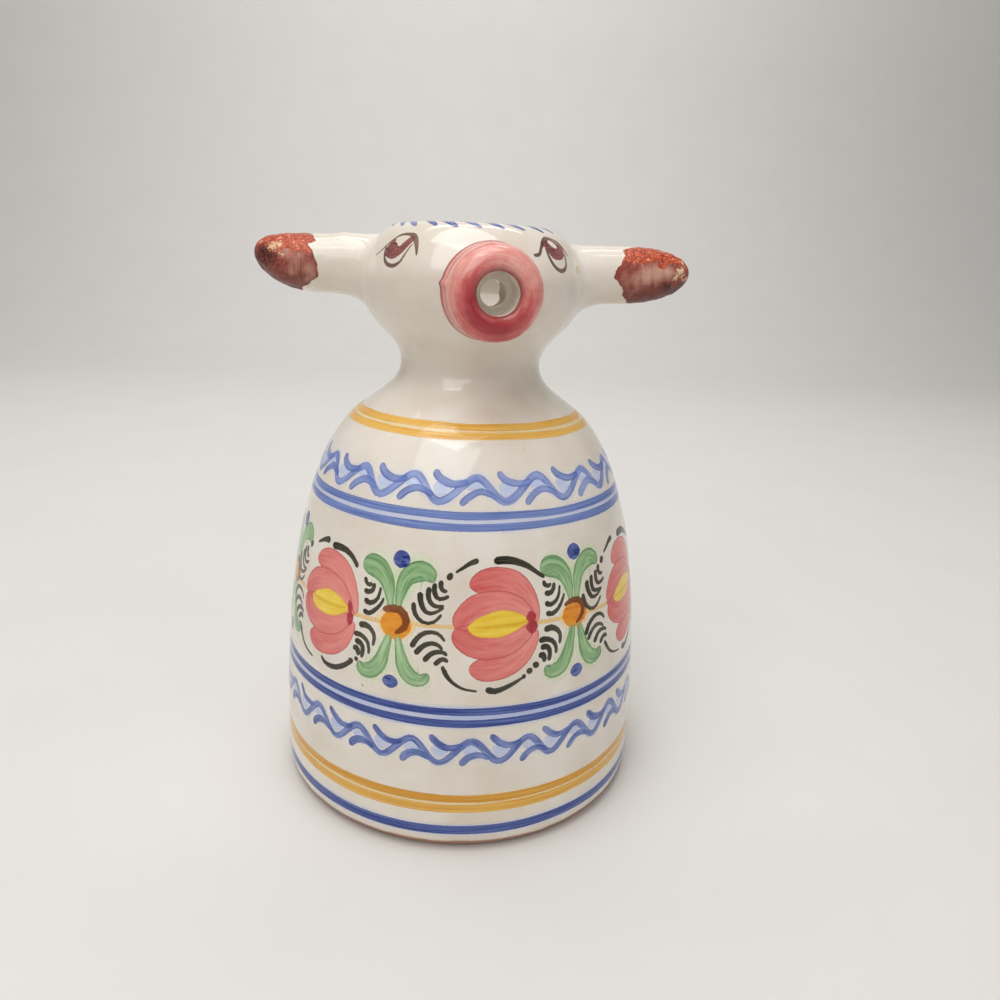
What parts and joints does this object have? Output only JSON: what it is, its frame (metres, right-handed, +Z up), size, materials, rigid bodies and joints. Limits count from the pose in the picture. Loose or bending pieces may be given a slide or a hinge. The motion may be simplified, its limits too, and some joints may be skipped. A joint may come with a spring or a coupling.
{
  "type": "cream jug",
  "caption": "Bell-shaped glazed cream jug with a cow's head: open mouth to fill, ring-shaped snout that pours, blunt horns at the sides and a strap handle at the back.",
  "frame": {"origin": "middle of the foot, on the surface that the jug stands on", "axes": "+Z up along the turning axis of the pot, -Y the way the face looks, +X towards the cow's left horn"},
  "size_m": [0.1207, 0.109, 0.16],
  "materials": {
    "white_glaze": "glossy tin glaze",
    "rose_glaze": "glossy painted glaze",
    "horn_glaze": "rough painted glaze"
  },
  "bodies": {
    "root": {"body_shell": "white_glaze", "head_bowl": "white_glaze", "handle": "white_glaze", "snout_ring": "rose_glaze", "left_horn": "horn_glaze", "right_horn": "horn_glaze"}
  },
  "joints": []
}
